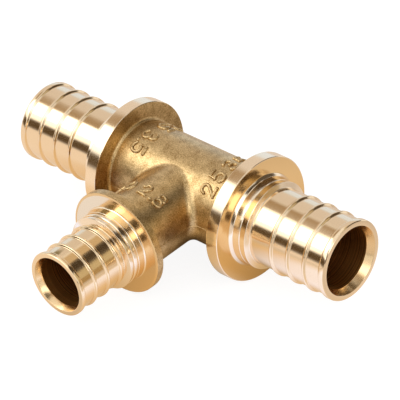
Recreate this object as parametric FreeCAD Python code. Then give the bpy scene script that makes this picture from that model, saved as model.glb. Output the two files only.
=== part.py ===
import FreeCAD, Part
import os

# Reducing tee for plastic pipe, with sizes in mm. The run's axis is X, the branch leaves along -Y,
# and the two axes cross at the origin. Distances along an arm are counted from that point.
# Both ends of the run are alike, and the planes X = 0 and Z = 0 each halve the part.

# Run ends, for pipe of 25 mm outside diameter and 3.5 mm wall
runTip = 51.0
runBore = 8.05
runMouth = 9.1
runMouthDepth = 1.93
runBarrel = 11.55
runCollarBack = 18.6
runCollarThickness = 3.6
runCollar = 16.4
runCollarChamfer = 0.3
runCollarFillet = 1.3
runDrum = 11.4
runDrumLength = 4.55
runDrumRoot = 0.5
runTaper = 0.85
runRidge = 10.5
runRidgePitch = 5.25
runLastRidgeToTip = 6.5
runRidgeTop = 0.9
runTipRing = 1.6

# Branch end, for pipe of 20 mm outside diameter and 2.8 mm wall
branchTip = 49.43
branchBore = 6.72
branchMouth = 7.2
branchMouthDepth = 1.65
branchBarrel = 9.9
branchCollarBack = 26.5
branchCollarThickness = 2.13
branchCollar = 13.85
branchCollarBevel = 0.65
branchCollarBevelDepth = 0.2
branchCollarFillet = 1.5
branchDrum = 9.85
branchDrumLength = 5.12
branchDrumRoot = 0.9
branchTaper = 0.4
branchRidge = 8.65
branchRidgePitch = 4.3
branchLastRidgeToTip = 5.13
branchRidgeTop = 0.7
branchTipRing = 1.2

# Shared by all three ends
ridgeCount = 3
ridgeHeight = 0.5
ridgeFlank = 0.27
tipChamfer = 0.35

# Forged rounding where the branch barrel meets the run barrel
saddleFillet = 2.5


# Closed face from (along, radius, reach) corners. A corner with a reach is blended over that length
# of both its edges, or over less where an edge is short.
def profileFace(corners):
    edges = []
    ends = []
    for i, (along, radius, reach) in enumerate(corners):
        corner = FreeCAD.Vector(along, radius, 0)
        start = corner
        end = corner
        if reach > 0:
            before = FreeCAD.Vector(*corners[i - 1][:2], 0) - corner
            after = FreeCAD.Vector(*corners[(i + 1) % len(corners)][:2], 0) - corner
            reach = min(reach, 0.45 * before.Length, 0.45 * after.Length)
            start = corner + before.normalize() * reach
            end = corner + after.normalize() * reach
            blend = Part.BezierCurve()
            blend.setPoles([start, corner, end])
            edges.append(blend.toShape())
        ends.append((start, end))
    for i, (start, end) in enumerate(ends):
        edges.append(Part.makeLine(ends[i - 1][1], start))
    return Part.Face(Part.Wire(Part.__sortEdges__(edges)))


# Ridge centres along an arm, from the hub to the tip.
def ridgeCentres(tip, lastToTip, pitch):
    return [tip - lastToTip - pitch * i for i in reversed(range(ridgeCount))]


# Corners of the ribbed spigot, from the end of the hub's taper to the tip.
def spigotCorners(tip, crest, centres, top, ring):
    valley = crest - ridgeHeight
    corners = []
    for centre in centres:
        corners += [
            (centre - top / 2 - ridgeFlank, valley, 0),
            (centre - top / 2, crest, 0),
            (centre + top / 2, crest, 0),
            (centre + top / 2 + ridgeFlank, valley, 0),
        ]
    corners += [
        (tip - ring - ridgeFlank, valley, 0),
        (tip - ring, crest, 0),
        (tip - tipChamfer, crest, 0),
        (tip, crest - tipChamfer, 0),
    ]
    return corners


# Corners of the hub: sloped root at the collar, drum, taper down to the spigot.
def hubCorners(front, drum, length, root, taper, valley):
    return [
        (front, drum + root, 0),
        (front + root, drum, 0),
        (front + length, drum, 0),
        (front + length + taper, valley, 0),
    ]


# Solid of revolution about X from the outer corners between two places on the axis.
def turned(corners):
    first = (corners[0][0], 0, 0)
    last = (corners[-1][0], 0, 0)
    face = profileFace([first] + corners + [last])
    return face.revolve(FreeCAD.Vector(0, 0, 0), FreeCAD.Vector(1, 0, 0), 360)


# Bore with a conical mouth at the tip, as a solid to cut away, starting on the other arm's axis.
def boreCut(tip, bore, mouth, depth):
    slope = (mouth - bore) / depth
    past = 1.0
    return turned([
        (0, bore, 0),
        (tip - depth, bore, 0),
        (tip + past, mouth + slope * past, 0),
    ])


# Turn a solid made along +X to point along -X or -Y.
def turnedTo(solid, angle):
    copy = solid.copy()
    copy.rotate(FreeCAD.Vector(0, 0, 0), FreeCAD.Vector(0, 0, 1), angle)
    return copy


runFront = runCollarBack + runCollarThickness
runCorners = [
    (runCollarBack - 2 * runCollarFillet, runBarrel, 0),
    (runCollarBack, runBarrel, runCollarFillet),
    (runCollarBack, runCollar - runCollarChamfer, 0),
    (runCollarBack + runCollarChamfer, runCollar, 0),
    (runFront - runCollarChamfer, runCollar, 0),
    (runFront, runCollar - runCollarChamfer, 0),
]
runCorners += hubCorners(
    runFront, runDrum, runDrumLength, runDrumRoot, runTaper, runRidge - ridgeHeight
)
runCorners += spigotCorners(
    runTip, runRidge, ridgeCentres(runTip, runLastRidgeToTip, runRidgePitch),
    runRidgeTop, runTipRing,
)
runArm = turned(runCorners)

branchFront = branchCollarBack + branchCollarThickness
branchCorners = [
    (branchCollarBack - 2 * branchCollarFillet, branchBarrel, 0),
    (branchCollarBack, branchBarrel, branchCollarFillet),
    (branchCollarBack, branchCollar, 0),
    (branchFront - branchCollarBevelDepth, branchCollar, 0),
    (branchFront, branchCollar - branchCollarBevel, 0),
]
branchCorners += hubCorners(
    branchFront, branchDrum, branchDrumLength, branchDrumRoot, branchTaper, branchRidge - ridgeHeight
)
branchCorners += spigotCorners(
    branchTip, branchRidge, ridgeCentres(branchTip, branchLastRidgeToTip, branchRidgePitch),
    branchRidgeTop, branchTipRing,
)
branchArm = turned(branchCorners)

# Forged middle: two crossing barrels, rounded along the curves where they meet
runBarrelEnd = runCollarBack - runCollarFillet
branchBarrelEnd = branchCollarBack - branchCollarFillet
middle = Part.makeCylinder(
    runBarrel, 2 * runBarrelEnd, FreeCAD.Vector(-runBarrelEnd, 0, 0), FreeCAD.Vector(1, 0, 0)
)
middle = middle.fuse(
    Part.makeCylinder(branchBarrel, branchBarrelEnd, FreeCAD.Vector(0, 0, 0), FreeCAD.Vector(0, -1, 0))
)
saddle = [e for e in middle.Edges if not isinstance(e.Curve, (Part.Line, Part.Circle))]
middle = middle.makeFillet(saddleFillet, saddle)

body = middle.multiFuse([runArm, turnedTo(runArm, 180), turnedTo(branchArm, -90)])
runCut = boreCut(runTip, runBore, runMouth, runMouthDepth)
branchCut = boreCut(branchTip, branchBore, branchMouth, branchMouthDepth)
for cut in (runCut, turnedTo(runCut, 180), turnedTo(branchCut, -90)):
    body = body.cut(cut)
body = body.removeSplitter()
if body.ShapeType == "Compound" and len(body.Solids) == 1:
    body = body.Solids[0]

os.makedirs("parts", exist_ok=True)
body.exportStep("parts/tee_body.step")
print("tee_body", body.ShapeType, body.isValid(), round(body.Volume, 1), body.BoundBox)
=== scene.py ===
import math

import bmesh
import bpy
from mathutils import Matrix, Vector


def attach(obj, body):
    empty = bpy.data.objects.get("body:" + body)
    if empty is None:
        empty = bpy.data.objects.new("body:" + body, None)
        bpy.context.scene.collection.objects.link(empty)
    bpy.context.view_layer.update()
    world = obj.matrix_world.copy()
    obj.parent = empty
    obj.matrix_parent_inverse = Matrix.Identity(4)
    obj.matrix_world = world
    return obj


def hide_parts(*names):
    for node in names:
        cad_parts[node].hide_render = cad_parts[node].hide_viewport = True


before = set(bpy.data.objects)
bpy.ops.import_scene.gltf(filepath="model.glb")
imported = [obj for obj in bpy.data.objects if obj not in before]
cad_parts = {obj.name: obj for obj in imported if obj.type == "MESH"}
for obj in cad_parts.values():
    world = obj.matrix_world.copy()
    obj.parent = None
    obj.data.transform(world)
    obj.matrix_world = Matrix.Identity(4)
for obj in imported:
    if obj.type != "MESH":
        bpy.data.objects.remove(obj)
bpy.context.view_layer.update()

mm = 0.001


# sRGB hex to the linear colour that sockets take
def linearColour(code):
    values = [int(code[i : i + 2], 16) / 255 for i in (1, 3, 5)]
    return [v / 12.92 if v <= 0.04045 else ((v + 0.055) / 1.055) ** 2.4 for v in values] + [1.0]


# One node with its properties, socket values and links
def addNode(tree, kind, settings=None, links=None):
    node = tree.nodes.new(kind)
    for key, value in (settings or {}).items():
        if isinstance(key, str) and key not in node.inputs:
            setattr(node, key, value)
    for key, value in (settings or {}).items():
        if isinstance(key, int) or key in node.inputs:
            node.inputs[key].default_value = value
    for key, source in (links or {}).items():
        tree.links.new(source, node.inputs[key])
    return node


def emptyMaterial(name):
    material = bpy.data.materials.new(name)
    material.use_nodes = True
    material.node_tree.nodes.clear()
    return material


# A bmesh becomes the mesh of a new object
def meshObject(name, shape):
    mesh = bpy.data.meshes.new(name)
    shape.to_mesh(mesh)
    shape.free()
    made = bpy.data.objects.new(name, mesh)
    bpy.context.scene.collection.objects.link(made)
    return made


# The mesh of an object with its modifiers or its bevel applied
def finalMesh(piece):
    bpy.context.view_layer.update()
    return bpy.data.meshes.new_from_object(piece.evaluated_get(bpy.context.evaluated_depsgraph_get()))


# Adds one bmesh to another and frees it
def joinInto(whole, part):
    mesh = bpy.data.meshes.new("part")
    part.to_mesh(mesh)
    part.free()
    whole.from_mesh(mesh)
    bpy.data.meshes.remove(mesh)


def triangleCount(piece):
    return sum(len(face.vertices) - 2 for face in piece.data.polygons)


# Each arm in mm: places are along its axis from the middle of the tee, the rest are radii and lengths.
# A corner of the hub is (place, radius, rounding).
runArm = {
    "barrel": 11.55,
    "bore": 8.05,
    "mouthStart": 49.07,
    "mouth": 9.1,
    "mouthRounding": 0.12,
    "tip": 51.0,
    "tipRing": 1.6,
    "tipRounding": 0.45,
    "collarBack": 18.6,
    "collarFront": 22.2,
    "collar": 16.4,
    "collarFillet": 0.9,
    "rimRounding": 0.25,
    "hub": [
        (22.2, 12.15, 0.12),
        (22.95, 11.5, 0.12),
        (24.85, 11.32, 0.06),
        (25.0, 11.22, 0.06),
        (26.75, 11.45, 0.12),
        (27.15, 10.0, 0.2),
    ],
    "valley": 10.0,
    "crest": 10.5,
    "ridges": (34.0, 39.25, 44.5),
    "ridgeTop": 0.5,
    "flank": 0.34,
}
branchArm = {
    "barrel": 9.9,
    "bore": 6.72,
    "mouthStart": 47.78,
    "mouth": 7.4,
    "mouthRounding": 0.1,
    "tip": 49.43,
    "tipRing": 1.2,
    "tipRounding": 0.4,
    "collarBack": 26.5,
    "collarFront": 28.63,
    "collar": 13.85,
    "collarBevel": (0.2, 0.65),
    "collarFillet": 1.5,
    "rimRounding": 0.12,
    "hub": [
        (28.63, 10.15, 0.1),
        (28.95, 9.88, 0.1),
        (30.75, 9.82, 0.06),
        (30.87, 9.74, 0.03),
        (31.0, 9.86, 0.06),
        (32.15, 9.82, 0.06),
        (32.3, 9.66, 0.06),
        (32.5, 9.74, 0.06),
        (33.75, 9.84, 0.12),
        (34.15, 8.15, 0.15),
    ],
    "valley": 8.15,
    "crest": 8.65,
    "ridges": (35.7, 40.0, 44.3),
    "ridgeTop": 0.5,
    "flank": 0.25,
    "start": 3.5,  # inside the run's wall, where the run's bore trims it
}
turning = {
    "steps": 192,  # round the axis
    "smallSegments": 3,
    "largeSegments": 6,
    "largeFrom": 0.5,  # mm, a rounding from here on gets more segments
    "footRounding": 0.12,  # mm, at a ridge's foot
    "crestRounding": 0.2,
    "boreRounding": 0.1,
    "bevelRounding": 0.06,  # at both edges of the branch collar's bevel
    "sharpFrom": 28,  # degrees between two faces, from which their edge shades sharp
    "weld": 1e-7,  # metres; points closer than this become one
}
# The bars that open the bores where the arms cross, in mm
cutters = {
    "passageGrow": 0.3,  # mm wider than the branch's bore, so that the branch's own wall is what shows
    "passageEnd": 12.5,
    "runGrow": 0.05,
    "runReach": 20,
}


# From the collar's face to the bore, for either arm
def spigotOutline(arm):
    foot, crest = turning["footRounding"], turning["crestRounding"]
    halfTop = arm["ridgeTop"] / 2
    halfFoot = halfTop + arm["flank"]
    corners = list(arm["hub"])
    for centre in arm["ridges"]:
        corners += [
            (centre - halfFoot, arm["valley"], foot),
            (centre - halfTop, arm["crest"], crest),
            (centre + halfTop, arm["crest"], crest),
            (centre + halfFoot, arm["valley"], foot),
        ]
    ring = arm["tip"] - arm["tipRing"]
    return corners + [
        (ring - arm["flank"], arm["valley"], foot),
        (ring, arm["crest"], crest),
        (arm["tip"], arm["crest"], arm["tipRounding"]),
        (arm["tip"], arm["mouth"], arm["mouthRounding"]),
        (arm["mouthStart"], arm["bore"], turning["boreRounding"]),
    ]


def runOutline(arm):
    return [
        (arm["collarBack"], arm["barrel"], arm["collarFillet"]),
        (arm["collarBack"], arm["collar"], arm["rimRounding"]),
        (arm["collarFront"], arm["collar"], arm["rimRounding"]),
    ] + spigotOutline(arm)


def branchOutline(arm):
    bevelLength, bevelDepth = arm["collarBevel"]
    return [
        (arm["start"], arm["bore"], 0),
        (arm["start"], arm["barrel"], 0),
        (arm["collarBack"], arm["barrel"], arm["collarFillet"]),
        (arm["collarBack"], arm["collar"], arm["rimRounding"]),
        (arm["collarFront"] - bevelLength, arm["collar"], turning["bevelRounding"]),
        (arm["collarFront"], arm["collar"] - bevelDepth, turning["bevelRounding"]),
    ] + spigotOutline(arm)


# A closed outline, rounded at its corners, spun about X
def turnedShell(corners):
    shell = bmesh.new()
    verts = [shell.verts.new((along * mm, radius * mm, 0)) for along, radius, rounding in corners]
    shell.faces.new(verts)
    for rounding in sorted({corner[2] for corner in corners if corner[2] > 0}):
        large = rounding >= turning["largeFrom"]
        bmesh.ops.bevel(
            shell,
            geom=[vert for vert, corner in zip(verts, corners) if corner[2] == rounding],
            offset=rounding * mm,
            offset_type="OFFSET",
            segments=turning["largeSegments" if large else "smallSegments"],
            profile=0.5,
            affect="VERTICES",
            material=-1,
        )
    bmesh.ops.delete(shell, geom=shell.faces[:], context="FACES_ONLY")
    bmesh.ops.spin(
        shell,
        geom=shell.verts[:] + shell.edges[:],
        cent=(0, 0, 0),
        axis=(1, 0, 0),
        angle=2 * math.pi,
        steps=turning["steps"],
        use_merge=True,
    )
    bmesh.ops.remove_doubles(shell, verts=shell.verts[:], dist=turning["weld"])
    bmesh.ops.recalc_face_normals(shell, faces=shell.faces[:])
    return shell


# A round bar along X or Y, as a tool to cut with
def roundBar(name, radius, start, end, direction):
    bar = bmesh.new()
    bmesh.ops.create_cone(
        bar,
        cap_ends=True,
        segments=turning["steps"],
        radius1=radius * mm,
        radius2=radius * mm,
        depth=(end - start) * mm,
    )
    bmesh.ops.translate(bar, verts=bar.verts[:], vec=(0, 0, (start + end) / 2 * mm))
    turn = Vector((0, 0, 1)).rotation_difference(Vector(direction)).to_matrix()
    bmesh.ops.rotate(bar, verts=bar.verts[:], cent=(0, 0, 0), matrix=turn)
    return meshObject(name, bar)


# Cuts the tool out of the piece and gives the rest back as a bmesh
def cutAway(piece, tool):
    cut = piece.modifiers.new("cut", "BOOLEAN")
    cut.operation = "DIFFERENCE"
    cut.solver = "EXACT"
    cut.object = tool
    mesh = finalMesh(piece)
    rest = bmesh.new()
    rest.from_mesh(mesh)
    for used in (piece, tool):
        bpy.data.objects.remove(used)
    bpy.data.meshes.remove(mesh)
    return rest


# The rounding where the branch leaves the run, in mm, with its rows round and across
saddle = {"fillet": 2.5, "around": 192, "across": 12, "runDepth": 0.65, "branchDepth": 0.9}


# A ball of the fillet's radius rolls along both barrels.
# A grid is wrapped round its path, and its last two rows close it inside the walls.
def saddleRing(run, branch):
    fillet = saddle["fillet"]
    rows = saddle["across"] + 2
    reach = branch["barrel"] + fillet
    share = run["barrel"] / (run["barrel"] + fillet)
    ring = bmesh.new()
    bmesh.ops.create_grid(ring, x_segments=saddle["around"], y_segments=rows, size=1)
    for vert in ring.verts:
        turn = vert.co.x * math.pi
        row = round((vert.co.y + 1) / 2 * rows)
        side, up = math.cos(turn), math.sin(turn)
        forward = math.sqrt((run["barrel"] + fillet) ** 2 - (reach * up) ** 2)
        centre = Vector((reach * side, -forward, reach * up))
        onBranch = Vector((branch["barrel"] * side, centre.y, branch["barrel"] * up))
        onRun = Vector((centre.x, centre.y * share, centre.z * share))
        if row == rows - 1:
            deep = branch["barrel"] - saddle["branchDepth"]
            inner = run["barrel"] - saddle["runDepth"]
            point = Vector((deep * side, -math.sqrt(inner**2 - (deep * up) ** 2), deep * up))
        else:
            along = row / saddle["across"] if row < rows else 0
            outward = (onBranch - centre).normalized().slerp((onRun - centre).normalized(), along)
            point = centre + outward * fillet
        vert.co = point * mm
    bmesh.ops.remove_doubles(ring, verts=ring.verts[:], dist=turning["weld"])
    bmesh.ops.recalc_face_normals(ring, faces=ring.faces[:])
    return ring


print("turning the run and the branch")
half = runOutline(runArm)
mirrored = [(-along, radius, rounding) for along, radius, rounding in reversed(half)]
runShell = meshObject("runShell", turnedShell(mirrored + half))
branchTurned = turnedShell(branchOutline(branchArm))
quarterTurn = Matrix.Rotation(-math.pi / 2, 3, "Z")
bmesh.ops.rotate(branchTurned, verts=branchTurned.verts[:], cent=(0, 0, 0), matrix=quarterTurn)
branchShell = meshObject("branchShell", branchTurned)
passage = roundBar(
    "passage", branchArm["bore"] + cutters["passageGrow"], 0, cutters["passageEnd"], (0, -1, 0)
)
runBar = roundBar(
    "runBar", runArm["bore"] + cutters["runGrow"], -cutters["runReach"], cutters["runReach"], (1, 0, 0)
)
runPart = cutAway(runShell, passage)
branchPart = cutAway(branchShell, runBar)
ring = saddleRing(runArm, branchArm)

# Free-turned brass: bright pale gold, with the fine rings that the tool leaves round the axis.
# A ring's pitch and height are in mm, and a streak is the colour between its rings, which darkens their
# grooves as painted shade.
turnedDefaults = {"roughness": 0.15, "pitch": 0.3, "height": 0.003, "streak": None}
# The finishes are the tool's, but their tints on one brass are partly painted light: paler rims and hubs
# for brighter reflections, deeper gold faces for a warm one
turnedFinishes = {
    # The rims of the run's collars, pale and shining
    "turnedRimBrass": {"axis": "X", "colour": "#fae2c0", "pitch": 0.5},
    # The collars' faces, deeper gold as a painted warm reflection, and softly mirroring the hubs
    "facedRunBrass": {"axis": "X", "colour": "#ecc890", "pitch": 0.4},
    "facedBranchBrass": {"axis": "Y", "colour": "#ebca98", "pitch": 0.4},
    # The spigots, with crisp bands of light and dark along them
    "turnedRunBrass": {"axis": "X", "colour": "#f3d9b4", "roughness": 0.13, "pitch": 0.35},
    "turnedBranchBrass": {"axis": "Y", "colour": "#f3d7ae", "roughness": 0.13, "height": 0.006},
    # The stepped hubs, as pale as the rims as a painted brighter reflection, with a glint at each step
    "turnedHubBrass": {"axis": "X", "colour": "#f9e5c8", "height": 0.004},
    "turnedBranchHubBrass": {"axis": "Y", "colour": "#f9e5c8", "height": 0.005},
    # The cones of the mouths, softer than the outside
    "countersunkBrass": {"axis": "X", "colour": "#efcf9f", "roughness": 0.22, "height": 0.004},
}
# Drilled brass in the bores: a dark brown depth with the drill's marks, whose grooves get a dark streak
# colour as painted shade
for name, axis in (("boredRunBrass", "X"), ("boredBranchBrass", "Y")):
    drilled = {"axis": axis, "colour": "#e6b469", "roughness": 0.4, "pitch": 0.25, "height": 0.035}
    turnedFinishes[name] = {**drilled, "streak": "#94622a"}
finishes = ["forgedBrassSkin", *turnedFinishes]
# How far each border between two finishes lies from the size it follows, in mm
borders = {"bore": 0.03, "mouth": 0.02, "back": 0.05, "runRim": 0.31, "branchRim": 0.1, "face": 0.1}


# Which finish each face of an arm has, told by where it lies along the arm and how far from its axis
def finishOf(arm, along, radius, isRun):
    if radius < arm["bore"] + borders["bore"] and along < arm["mouthStart"]:
        return "boredRunBrass" if isRun else "boredBranchBrass"
    if along > arm["mouthStart"] and radius < arm["mouth"] - borders["mouth"]:
        return "countersunkBrass"
    if along < arm["collarBack"] + borders["back"]:
        return "forgedBrassSkin"
    if radius > arm["collar"] - borders["runRim"] and isRun:
        return "turnedRimBrass"
    if radius > arm["collar"] - borders["branchRim"] and not isRun:
        return "forgedBrassSkin"
    if along < arm["collarFront"] + borders["face"]:
        return "facedRunBrass" if isRun else "facedBranchBrass"
    if along < arm["hub"][-1][0]:
        return "turnedHubBrass" if isRun else "turnedBranchHubBrass"
    return "turnedRunBrass" if isRun else "turnedBranchBrass"


print("sorting the faces by finish")
for part, arm, isRun in ((runPart, runArm, True), (branchPart, branchArm, False)):
    for face in part.faces:
        centre = face.calc_center_median() / mm
        along, off = (abs(centre.x), centre.y) if isRun else (-centre.y, centre.x)
        face.material_index = finishes.index(finishOf(arm, along, math.hypot(off, centre.z), isRun))

body = bmesh.new()
for part in (runPart, branchPart, ring):
    joinInto(body, part)
for face in body.faces:
    face.smooth = True
for edge in body.edges:
    if len(edge.link_faces) == 2:
        edge.smooth = edge.calc_face_angle(0) < math.radians(turning["sharpFrom"])
teeBody = meshObject("teeBody", body)
even = teeBody.modifiers.new("even", "WEIGHTED_NORMAL")
even.keep_sharp = True
print("body triangles", triangleCount(teeBody))

# Raised size numbers: mm, with places from the middle of the tee, and each sign's turn in degrees
numbers = {
    "stroke": 0.5,  # half the width of a stroke
    "rise": 0.54,  # half the height of a bead, whose middle is just under the skin
    "sink": 0.06,  # how far under the skin that middle is
    "halfWidth": 0.31,  # of a numeral, in shares of its height
    "beadRoundness": 3,
    "curveSteps": 5,
    "endSegments": (12, 8),  # of the balls that close each stroke's ends and corners
    "runHeight": 4.0,
    "branchHeight": 3.5,
    "rightX": 12.3,
    "leftX": -12.6,
    "branchY": -17.4,
    "right": (("2", 50), ("5", 71), ("3", 95), (".", 106), ("5", 117)),
    "left": (("5", 61), (".", 72), ("3", 84), ("5", 112), ("2", 131)),
    "branch": (("8", 58), (".", 70.5), ("2", 86), ("0", 115), ("2", 136)),
}
# Strokes in shares of the height; "v" marks a hard corner
strokes = {
    "0": [[(0.31, 1.0), (0.6, 0.7), (0.6, 0.3), (0.31, 0.0), (0.02, 0.3), (0.02, 0.7)]],
    "2": [
        [(0.03, 0.74), (0.14, 0.94), (0.33, 1.0), (0.55, 0.88), (0.57, 0.67)]
        + [(0.38, 0.38), (0.02, 0.0, "v"), (0.62, 0.0)]
    ],
    "3": [
        [(0.03, 0.86), (0.28, 1.0), (0.55, 0.86), (0.53, 0.65), (0.26, 0.54, "v")]
        + [(0.55, 0.45), (0.6, 0.22), (0.46, 0.03), (0.22, 0.0), (0.0, 0.15)]
    ],
    "5": [
        [(0.56, 1.0), (0.1, 1.0, "v"), (0.05, 0.55, "v"), (0.3, 0.63), (0.55, 0.52)]
        + [(0.6, 0.28), (0.46, 0.04), (0.22, 0.0), (0.0, 0.13)]
    ],
    "8": [
        [(0.31, 1.03), (0.58, 0.79), (0.31, 0.55), (0.04, 0.79)],
        [(0.31, 0.55), (0.62, 0.26), (0.31, -0.03), (0.0, 0.26)],
    ],
    ".": [[(0.0, 0.02), (0.06, 0.02)]],
}
loopedSigns = ("0", "8")


# One numeral as round beads of metal, flat on the XY plane with its middle at the origin, in mm
def numeral(sign, height):
    curve = bpy.data.curves.new("numeral", "CURVE")
    curve.dimensions = "3D"
    curve.bevel_depth = numbers["stroke"]
    curve.bevel_resolution = numbers["beadRoundness"]
    curve.use_fill_caps = True
    curve.resolution_u = numbers["curveSteps"]
    knots = []
    middle = 0 if sign == "." else numbers["halfWidth"]
    closed = sign in loopedSigns
    for points in strokes[sign]:
        spline = curve.splines.new("BEZIER")
        spline.bezier_points.add(len(points) - 1)
        spline.use_cyclic_u = closed
        for knot, (x, y, *corner) in zip(spline.bezier_points, points):
            knot.co = ((x - middle) * height, (y - 0.5) * height, 0)
            knot.handle_left_type = knot.handle_right_type = "VECTOR" if corner else "AUTO"
            if corner:
                knots.append(knot.co.copy())
        if not closed:
            knots += [spline.bezier_points[0].co.copy(), spline.bezier_points[-1].co.copy()]
    holder = bpy.data.objects.new("numeral", curve)
    bpy.context.scene.collection.objects.link(holder)
    mesh = finalMesh(holder)
    beads = bmesh.new()
    beads.from_mesh(mesh)
    around, upward = numbers["endSegments"]
    for knot in knots:
        bmesh.ops.create_uvsphere(
            beads,
            u_segments=around,
            v_segments=upward,
            radius=numbers["stroke"],
            matrix=Matrix.Translation(knot),
        )
    bpy.data.objects.remove(holder)
    bpy.data.curves.remove(curve)
    bpy.data.meshes.remove(mesh)
    return beads


# Bends a numeral round its barrel. A turn counts from -Y to +Z on the run, and from +X to +Z on the branch
def bendOnto(beads, arm, turn, along, side):
    for vert in beads.verts:
        x, y, z = vert.co
        lift = arm["barrel"] - numbers["sink"] + z * numbers["rise"] / numbers["stroke"]
        angle = math.radians(turn) + (x / arm["barrel"] if side == "right" else -x / arm["barrel"])
        if side == "branch":
            vert.co = Vector((lift * math.cos(angle), along + y, lift * math.sin(angle))) * mm
        else:
            up = -y if side == "right" else y
            vert.co = Vector((along + up, -lift * math.cos(angle), lift * math.sin(angle))) * mm


print("raising the size numbers")
marks = bmesh.new()
for side, arm, along, height in (
    ("right", runArm, numbers["rightX"], numbers["runHeight"]),
    ("left", runArm, numbers["leftX"], numbers["runHeight"]),
    ("branch", branchArm, numbers["branchY"], numbers["branchHeight"]),
):
    for sign, turn in numbers[side]:
        beads = numeral(sign, height)
        bendOnto(beads, arm, turn, along, side)
        joinInto(marks, beads)
bmesh.ops.recalc_face_normals(marks, faces=marks.faces[:])
for face in marks.faces:
    face.smooth = True
sizeNumbers = meshObject("sizeNumbers", marks)
print("number triangles", triangleCount(sizeNumbers))

# The parting line, where the two halves of the forging die met: a bead sunk in the skin, in mm
parting = {
    "radius": 0.16,
    "rise": 0.1,
    "runGap": 0.9,  # from its end to the back of the run's collar, inside the fillet
    "branchGap": 1.0,
    "arcStep": 9,  # degrees
}

print("drawing the parting line")
partingCurve = bpy.data.curves.new("partingLine", "CURVE")
partingCurve.dimensions = "3D"
partingCurve.bevel_depth = parting["radius"] * mm
partingCurve.bevel_resolution = 2
partingCurve.use_fill_caps = True
sunk = parting["radius"] - parting["rise"]
run, branch, fillet = runArm["barrel"], branchArm["barrel"], saddle["fillet"]
runEnd = runArm["collarBack"] - parting["runGap"]
branchEnd = branchArm["collarBack"] - parting["branchGap"]
corner = Vector((branch + fillet, -(run + fillet), 0))
arc = [
    corner + (fillet + sunk) * Vector((-math.sin(math.radians(a)), math.cos(math.radians(a)), 0))
    for a in range(0, 91, parting["arcStep"])
]
front = [Vector((runEnd, -(run - sunk), 0)), *arc, Vector((branch - sunk, -branchEnd, 0))]
back = [Vector((runEnd, run - sunk, 0)), Vector((-runEnd, run - sunk, 0))]
for side, path in ((1, front), (-1, front), (1, back)):
    spline = partingCurve.splines.new("POLY")
    spline.points.add(len(path) - 1)
    for knot, place in zip(spline.points, path):
        knot.co = (place.x * side * mm, place.y * mm, 0, 1)
holder = bpy.data.objects.new("holder", partingCurve)
bpy.context.scene.collection.objects.link(holder)
partingMesh = finalMesh(holder)
bpy.data.objects.remove(holder)
partingLine = bpy.data.objects.new("partingLine", partingMesh)
bpy.context.scene.collection.objects.link(partingLine)


# Drop-forged brass, blasted: a matte olive-gold skin with crisp sand grain, a little darker in places
def forgedBrassSkin():
    look = {
        "light": "#e2c490",
        "dark": "#9e7e4e",
        "darkTo": 0.36,  # of the pattern's range
        "lightFrom": 0.62,
        "roughness": 0.36,
        "cloud": 2.6,  # mm
        "grain": 0.28,  # mm, blasting grit drawn coarser so that it shows
        "grainShare": 0.62,  # of the light and dark
        "grainHeight": 0.03,  # mm
        "wave": 3.0,  # mm, hammering of the die
        "waveHeight": 0.035,
    }
    material = emptyMaterial("forgedBrassSkin")
    tree = material.node_tree
    place = addNode(tree, "ShaderNodeTexCoord").outputs["Object"]
    noise = {}
    for key, detail in (("cloud", 4.0), ("grain", 2.0), ("wave", 1.0)):
        scale = 1 / (look[key] * mm)
        noise[key] = addNode(
            tree, "ShaderNodeTexNoise", {"Scale": scale, "Detail": detail}, {"Vector": place}
        ).outputs["Fac"]
    pattern = addNode(
        tree,
        "ShaderNodeMix",
        {"data_type": "FLOAT", 0: look["grainShare"]},
        {2: noise["cloud"], 3: noise["grain"]},
    )
    colour = addNode(tree, "ShaderNodeValToRGB", links={"Fac": pattern.outputs[0]})
    stops = ((look["darkTo"], look["dark"]), (look["lightFrom"], look["light"]))
    for element, (position, code) in zip(colour.color_ramp.elements, stops):
        element.position = position
        element.color = linearColour(code)
    slow = addNode(
        tree,
        "ShaderNodeBump",
        {"Distance": look["waveHeight"] * mm, "Strength": 1.0},
        {"Height": noise["wave"]},
    )
    fine = addNode(
        tree,
        "ShaderNodeBump",
        {"Distance": look["grainHeight"] * mm, "Strength": 1.0},
        {"Height": noise["grain"], "Normal": slow.outputs["Normal"]},
    )
    shader = addNode(
        tree,
        "ShaderNodeBsdfPrincipled",
        {"Metallic": 1.0, "Roughness": look["roughness"]},
        {"Base Color": colour.outputs["Color"], "Normal": fine.outputs["Normal"]},
    )
    addNode(tree, "ShaderNodeOutputMaterial", links={"Surface": shader.outputs["BSDF"]})
    return material


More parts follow.
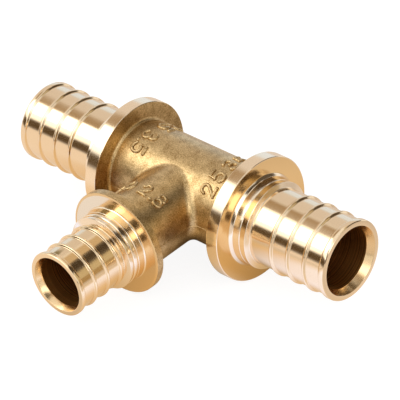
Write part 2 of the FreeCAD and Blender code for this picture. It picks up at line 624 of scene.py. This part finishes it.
# One of the turned finishes. Its rings run along the axis on a barrel and outwards on a face
def turnedBrass(name, look):
    streakStops = (0.35, 0.65)  # of the rings' range
    material = emptyMaterial(name)
    tree = material.node_tree
    place = addNode(tree, "ShaderNodeTexCoord").outputs["Object"]
    onAxis = (1, 0, 0) if look["axis"] == "X" else (0, 1, 0)
    offAxis = [1 - part for part in onAxis]
    along = addNode(tree, "ShaderNodeVectorMath", {"operation": "DOT_PRODUCT", 1: onAxis}, {0: place})
    flat = addNode(tree, "ShaderNodeVectorMath", {"operation": "MULTIPLY", 1: offAxis}, {0: place})
    radius = addNode(tree, "ShaderNodeVectorMath", {"operation": "LENGTH"}, {0: flat.outputs["Vector"]})
    path = addNode(
        tree,
        "ShaderNodeMath",
        {"operation": "ADD"},
        {0: along.outputs["Value"], 1: radius.outputs["Value"]},
    )
    rings = addNode(
        tree,
        "ShaderNodeTexNoise",
        {"noise_dimensions": "1D", "Scale": 1 / (look["pitch"] * mm), "Detail": 3.0, "Roughness": 0.6},
        {"W": path.outputs["Value"]},
    )
    bump = addNode(
        tree,
        "ShaderNodeBump",
        {"Distance": look["height"] * mm, "Strength": 1.0},
        {"Height": rings.outputs["Fac"]},
    )
    shader = addNode(
        tree,
        "ShaderNodeBsdfPrincipled",
        {"Metallic": 1.0, "Roughness": look["roughness"], "Base Color": linearColour(look["colour"])},
        {"Normal": bump.outputs["Normal"]},
    )
    if look["streak"]:
        tint = addNode(tree, "ShaderNodeValToRGB", links={"Fac": rings.outputs["Fac"]})
        colours = (look["streak"], look["colour"])
        for element, code, position in zip(tint.color_ramp.elements, colours, streakStops):
            element.color = linearColour(code)
            element.position = position
        tree.links.new(tint.outputs["Color"], shader.inputs["Base Color"])
    addNode(tree, "ShaderNodeOutputMaterial", links={"Surface": shader.outputs["BSDF"]})
    return material


print("mixing the brass finishes")
skin = forgedBrassSkin()
teeBody.data.materials.append(skin)
for name, finish in turnedFinishes.items():
    teeBody.data.materials.append(turnedBrass(name, {**turnedDefaults, **finish}))
for piece in (sizeNumbers, partingLine):
    piece.data.materials.clear()
    piece.data.materials.append(skin)
for piece in (teeBody, sizeNumbers, partingLine):
    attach(piece, "root")
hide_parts("tee_body")

# The floor: places and distances on it are in mm from the middle of the tee
floorLook = {
    "half": 1500,
    "tilt": 5.27,  # degrees: the tee leans on the rims of its three collars
    "seenGlow": 0.88,  # glow and paint for the camera
    "seenPaint": "#7c7c7c",
    "bouncePaint": "#e7e7e7",  # for light that bounces
    "mirrored": (  # painted shade and warm light, as only the metal mirrors it, by distance from the middle
        (10, "#69553c"),
        (18, "#d4ba93"),
        (34, "#efd1a6"),
        (62, "#fdf1e7"),
    ),
    "shade": {"place": (2, 20), "from": 10, "to": 38, "share": 0.2},  # painted shade, deeper behind the run
    "fades": {  # painted shade, deeper under each arm and farther off
        "underBranch": {"axis": "X", "bothWays": True, "from": 1, "to": 13, "shares": (0.78, 1.0)},
        "underRun": {"axis": "Y", "bothWays": True, "from": 1, "to": 13, "shares": (0.9, 1.0)},
        "farBehind": {"axis": "Y", "bothWays": False, "from": 20, "to": 70, "shares": (1.0, 0.78)},
        "farRight": {"axis": "X", "bothWays": False, "from": 48, "to": 68, "shares": (1.0, 0.84)},
        "farFront": {"axis": "Y", "bothWays": False, "from": -160, "to": -300, "shares": (1.0, 0.3)},
    },
    "paintedCoolGlow": "#7cadef",  # a painted cool glow under the right arm, which only the metal mirrors, over these places
    "paintedGlowPlace": {"X": (10, 30, 44, 54), "Y": (-120, -60, -12, -2)},
}


# Matte white paper: plain to the eye. To the metal it shows painted shade and warm light instead, darkest
# right under the tee
def paleFloor():
    material = emptyMaterial("paleFloor")
    tree = material.node_tree
    rays = addNode(tree, "ShaderNodeLightPath")
    isMirrored = addNode(
        tree,
        "ShaderNodeMath",
        {"operation": "MAXIMUM"},
        {0: rays.outputs["Is Glossy Ray"], 1: rays.outputs["Is Transmission Ray"]},
    )
    place = addNode(tree, "ShaderNodeTexCoord").outputs["Object"]
    signed = addNode(tree, "ShaderNodeSeparateXYZ", links={0: place})
    bothWays = addNode(tree, "ShaderNodeVectorMath", {"operation": "ABSOLUTE"}, {0: place})
    unsigned = addNode(tree, "ShaderNodeSeparateXYZ", links={0: bothWays.outputs["Vector"]})

    # Painted shade by distance: brown near the tee, warm white farther off
    stops = floorLook["mirrored"]
    farthest = stops[-1][0]
    distance = addNode(tree, "ShaderNodeVectorMath", {"operation": "LENGTH"}, {0: place})
    distanceShare = addNode(
        tree, "ShaderNodeMapRange", {"From Max": farthest * mm}, {"Value": distance.outputs["Value"]}
    )
    ramp = addNode(tree, "ShaderNodeValToRGB", links={"Fac": distanceShare.outputs[0]})
    for stop in stops[1:-1]:
        ramp.color_ramp.elements.new(stop[0] / farthest)
    for element, (at, code) in zip(ramp.color_ramp.elements, stops):
        element.position = at / farthest
        element.color = linearColour(code)

    # Painted shade behind the run, and the painted fades along X and Y
    shade = floorLook["shade"]
    shadePlace = (shade["place"][0] * mm, shade["place"][1] * mm, 0)
    away = addNode(tree, "ShaderNodeVectorMath", {"operation": "DISTANCE", 1: shadePlace}, {0: place})
    lit = addNode(
        tree,
        "ShaderNodeMapRange",
        {"From Min": shade["from"] * mm, "From Max": shade["to"] * mm, "To Min": shade["share"]},
        {"Value": away.outputs["Value"]},
    )
    for fade in floorLook["fades"].values():
        first, last = fade["shares"]
        share = addNode(
            tree,
            "ShaderNodeMapRange",
            {"From Min": fade["from"] * mm, "From Max": fade["to"] * mm, "To Min": first, "To Max": last},
            {"Value": (unsigned if fade["bothWays"] else signed).outputs[fade["axis"]]},
        )
        lit = addNode(
            tree, "ShaderNodeMath", {"operation": "MULTIPLY"}, {0: lit.outputs[0], 1: share.outputs[0]}
        )
    shaded = addNode(
        tree,
        "ShaderNodeVectorMath",
        {"operation": "SCALE"},
        {0: ramp.outputs["Color"], "Scale": lit.outputs[0]},
    )

    # The painted cool glow fades in and out along both axes
    bright = None
    for axis, (outerLow, low, high, outerHigh) in floorLook["paintedGlowPlace"].items():
        for start, end in ((outerLow, low), (outerHigh, high)):
            share = addNode(
                tree,
                "ShaderNodeMapRange",
                {"From Min": start * mm, "From Max": end * mm, "interpolation_type": "SMOOTHSTEP"},
                {"Value": signed.outputs[axis]},
            )
            if bright:
                share = addNode(
                    tree,
                    "ShaderNodeMath",
                    {"operation": "MULTIPLY"},
                    {0: bright.outputs[0], 1: share.outputs[0]},
                )
            bright = share
    mirrorColour = addNode(
        tree,
        "ShaderNodeVectorMath",
        {"operation": "MULTIPLY_ADD", 1: linearColour(floorLook["paintedCoolGlow"])[:3]},
        {0: bright.outputs[0], 2: shaded.outputs["Vector"]},
    )

    # One look for mirrors, with the painted shade and glow, one for the camera and one for light that
    # bounces
    mirror = addNode(tree, "ShaderNodeEmission", links={"Color": mirrorColour.outputs["Vector"]})
    paint = addNode(tree, "ShaderNodeBsdfDiffuse", {"Color": linearColour(floorLook["seenPaint"])})
    glow = addNode(tree, "ShaderNodeEmission", {"Strength": floorLook["seenGlow"]})
    seen = addNode(tree, "ShaderNodeAddShader", links={0: paint.outputs[0], 1: glow.outputs[0]})
    bounce = addNode(tree, "ShaderNodeBsdfDiffuse", {"Color": linearColour(floorLook["bouncePaint"])})
    unseen = addNode(
        tree,
        "ShaderNodeMixShader",
        links={0: isMirrored.outputs[0], 1: bounce.outputs[0], 2: mirror.outputs[0]},
    )
    whole = addNode(
        tree,
        "ShaderNodeMixShader",
        links={0: rays.outputs["Is Camera Ray"], 1: unseen.outputs[0], 2: seen.outputs[0]},
    )
    addNode(tree, "ShaderNodeOutputMaterial", links={"Surface": whole.outputs[0]})
    return material


# A painted reflection: a glowing sheet, which fades out over the soft share of its half width and height
def paintedReflectionMaterial(name, look):
    material = emptyMaterial(name)
    tree = material.node_tree
    place = addNode(tree, "ShaderNodeTexCoord").outputs["UV"]
    centred = addNode(tree, "ShaderNodeVectorMath", {"operation": "SUBTRACT", 1: (0.5, 0.5, 0)}, {0: place})
    offset = addNode(tree, "ShaderNodeVectorMath", {"operation": "ABSOLUTE"}, {0: centred.outputs[0]})
    parts = addNode(tree, "ShaderNodeSeparateXYZ", links={0: offset.outputs["Vector"]})
    across, upward = (
        addNode(
            tree,
            "ShaderNodeMapRange",
            {"From Min": 0.5, "From Max": 0.5 - look["soft"] / 2, "interpolation_type": "SMOOTHSTEP"},
            {"Value": parts.outputs[axis]},
        )
        for axis in ("X", "Y")
    )
    share = addNode(
        tree, "ShaderNodeMath", {"operation": "MULTIPLY"}, {0: across.outputs[0], 1: upward.outputs[0]}
    )
    glow = addNode(
        tree, "ShaderNodeEmission", {"Color": linearColour(look["colour"]), "Strength": look["level"]}
    )
    clear = addNode(tree, "ShaderNodeBsdfTransparent")
    whole = addNode(
        tree, "ShaderNodeMixShader", links={0: share.outputs[0], 1: clear.outputs[0], 2: glow.outputs[0]}
    )
    addNode(tree, "ShaderNodeOutputMaterial", links={"Surface": whole.outputs[0]})
    return material


# A compass direction: azimuth from -Y towards +X, and elevation, in degrees
def compassDirection(azimuth, elevation):
    a, e = math.radians(azimuth), math.radians(elevation)
    return Vector((math.sin(a) * math.cos(e), -math.cos(a) * math.cos(e), math.sin(e)))


# Stands something in a compass direction from a place (mm), at a distance (m), with its Z axis outwards
def facing(toward, away, place):
    out = compassDirection(*toward)
    across = Vector((0, 0, 1)).cross(out).normalized()
    turn = Matrix((across, out.cross(across), out)).transposed().to_4x4()
    return Matrix.Translation(Vector(place) * mm + out * away) @ turn


# A painted reflection: a glowing sheet sized in degrees as seen from its place, and seen only in
# reflections
def paper(name, look):
    sheet = bmesh.new()
    sheet.loops.layers.uv.new("paper")
    bmesh.ops.create_grid(sheet, x_segments=1, y_segments=1, size=0.5, calc_uvs=True)
    made = meshObject(name, sheet)
    width, height = (2 * look["away"] * math.tan(math.radians(angle / 2)) for angle in look["size"])
    made.matrix_world = facing(look["toward"], look["away"], look["place"]) @ Matrix.Diagonal(
        (width, height, 1, 1)
    )
    made.data.materials.append(paintedReflectionMaterial(name, look))
    made.visible_camera = False
    made.visible_diffuse = False
    made.visible_shadow = False


print("setting up the studio")
floorSheet = bmesh.new()
bmesh.ops.create_grid(floorSheet, x_segments=1, y_segments=1, size=floorLook["half"] * mm)
floor = meshObject("floor", floorSheet)
tilt = math.radians(floorLook["tilt"])
floor.rotation_euler = (-tilt, 0, 0)
floor.location = Vector((0, math.sin(tilt), math.cos(tilt))) * -runArm["collar"] * mm
floor.data.materials.append(paleFloor())

# The world is white where it is seen or mirrored
sky = {"seen": 1.0, "unseen": 0.85}
world = bpy.data.worlds.new("paleStudio")
bpy.context.scene.world = world
world.use_nodes = True
tree = world.node_tree
tree.nodes.clear()
rays = addNode(tree, "ShaderNodeLightPath")
isSeen = rays.outputs["Is Camera Ray"]
for kind in ("Is Glossy Ray", "Is Transmission Ray"):
    isSeen = addNode(
        tree, "ShaderNodeMath", {"operation": "MAXIMUM"}, {0: isSeen, 1: rays.outputs[kind]}
    ).outputs[0]
plain, white = (
    addNode(tree, "ShaderNodeBackground", {"Color": linearColour("#ffffff"), "Strength": sky[key]})
    for key in ("unseen", "seen")
)
whole = addNode(tree, "ShaderNodeMixShader", links={0: isSeen, 1: plain.outputs[0], 2: white.outputs[0]})
addNode(tree, "ShaderNodeOutputWorld", links={"Surface": whole.outputs[0]})

# Painted reflections round the tee: glowing sheets that only the bright metal mirrors, the dark ones
# painted shade and the light ones painted light. Toward is azimuth and elevation, and size is in degrees;
# each stands 1.6 m from the middle of the tee, or away (m) from a place (mm) of its own.
paintedReflectionDefaults = {"away": 1.6, "level": 1.0, "place": (0, 0, 0)}
paintedReflections = {
    "darkFrontReflection": {"toward": (-28, 11.5), "size": (60, 21), "colour": "#5f4e38", "soft": 0.3},
    "darkRightReflection": {"toward": (48, 9), "size": (30, 26), "colour": "#55452f", "soft": 0.3},
    "darkBackReflection": {"toward": (155, 28), "size": (48, 42), "colour": "#5c5144", "soft": 0.15},
    "darkHighReflection": {
        "toward": (120, 54.5),
        "size": (50, 27),
        "colour": "#4a3f30",
        "soft": 0.25,
        "away": 1.65,
    },
    "darkEastReflection": {
        "toward": (97, 55),
        "size": (32, 26),
        "colour": "#4a3f30",
        "soft": 0.3,
        "away": 1.64,
    },
    "tanBackReflection": {"toward": (119, 15), "size": (26, 50), "colour": "#d3c5a4", "soft": 0.1, "away": 1.8},
    "tanLowReflection": {"toward": (120, -1), "size": (34, 28), "colour": "#b39a70", "soft": 0.2, "away": 1.55},
    "tanEastReflection": {"toward": (84, 62), "size": (34, 18), "colour": "#b8a081", "soft": 0.3, "away": 1.8},
    "tanTopReflection": {"toward": (172, 60), "size": (50, 20), "colour": "#d6c09e", "soft": 0.4, "away": 1.8},
    "tanWestReflection": {
        "toward": (-97, 54),
        "size": (40, 18),
        "colour": "#a88e6a",
        "soft": 0.7,
        "away": 1.75,
    },
    "coolLowReflection": {
        "toward": (-136, 8),
        "size": (60, 30),
        "colour": "#dcebff",
        "soft": 0.5,
        "away": 1.9,
        "level": 1.15,
    },
    "greyBackReflection": {
        "toward": (-137, 22),
        "size": (76, 64),
        "colour": "#e4ddd9",
        "soft": 0.2,
        "away": 2.0,
    },
    # The next three stand near the hubs, which mirror their own surroundings: painted reflections of a dark
    # lens, of grey painted shade and of a bright painted glow
    "lensShade": {
        "toward": (36, 43),
        "size": (31, 27),
        "colour": "#3c3222",
        "soft": 0.25,
        "away": 0.1,
        "place": (7, -31, 7),
    },
    "hubShade": {
        "toward": (-49, 27),
        "size": (38, 38),
        "colour": "#8a8468",
        "soft": 0.35,
        "away": 0.015,
        "place": (-3.5, -29, 11.3),
    },
    "whiteFrontReflection": {
        "toward": (-45, -36),
        "size": (40, 40),
        "colour": "#d0dcff",
        "soft": 0.4,
        "away": 0.028,
        "level": 1.6,
        "place": (-8, -28.6, 6),
    },
}
for name, look in paintedReflections.items():
    paper(name, {**paintedReflectionDefaults, **look})

# Lamps, with a size and a distance in metres. The level is what a lamp looks like, where 1 is white
lampDefaults = {"colour": "#ffffff", "away": 1.5, "place": (0, 0, 0)}
lamps = {
    "softbox": {"toward": (-31, 44), "size": (2.05, 1.12), "level": 0.7},
    "hotCore": {"toward": (-50, 44), "size": (0.95, 0.6), "level": 1.5},
    "fill": {"toward": (57, 38), "size": (1.05, 0.95), "level": 1.3},
    # A small lamp in the corner of two arms, for the low side of the run's rim
    "collarFill": {
        "toward": (-38, -14),
        "size": (0.0075, 0.0075),
        "level": 0.39,
        "colour": "#ffe8b3",
        "away": 0.0045,
        "place": (15.5, -21, 0),
    },
}
for name, lamp in lamps.items():
    look = {**lampDefaults, **lamp}
    light = bpy.data.lights.new(name, "AREA")
    light.shape = "RECTANGLE"
    light.size, light.size_y = look["size"]
    light.energy = look["level"] * math.pi * light.size * light.size_y
    light.color = linearColour(look["colour"])[:3]
    holder = bpy.data.objects.new(name, light)
    holder.matrix_world = facing(look["toward"], look["away"], look["place"])
    holder.visible_camera = False
    bpy.context.scene.collection.objects.link(holder)

# The camera at the photo's angle: degrees and mm
view = {
    "azimuth": 45.4143,
    "elevation": 35.6272,
    "roll": -5.4281,
    "distance": 803.7585,
    "lens": 290.161,
    "aside": -0.2918,
    "above": -2.6152,
    "shiftX": 0.01424,
    "shiftY": -0.00396,
}
print("placing the camera")
roll = math.radians(view["roll"])
backward = compassDirection(view["azimuth"], view["elevation"])
right = Vector((0, 0, 1)).cross(backward).normalized()
up = backward.cross(right)
target = right * view["aside"] + up * view["above"]
rolledRight = right * math.cos(roll) + up * math.sin(roll)
rolledUp = up * math.cos(roll) - right * math.sin(roll)
camera = bpy.data.cameras.new("camera")
camera.sensor_width = 36
camera.lens = view["lens"]
camera.shift_x = view["shiftX"]
camera.shift_y = view["shiftY"]
camera.clip_start = 0.01
camera.clip_end = 20
cameraHolder = bpy.data.objects.new("camera", camera)
bpy.context.scene.collection.objects.link(cameraHolder)
cameraTurn = Matrix((rolledRight, rolledUp, backward)).transposed().to_4x4()
cameraHolder.matrix_world = Matrix.Translation((target + backward * view["distance"]) * mm) @ cameraTurn
bpy.context.scene.camera = cameraHolder

bpy.context.scene.view_settings.view_transform = "Standard"

bpy.context.view_layer.update()
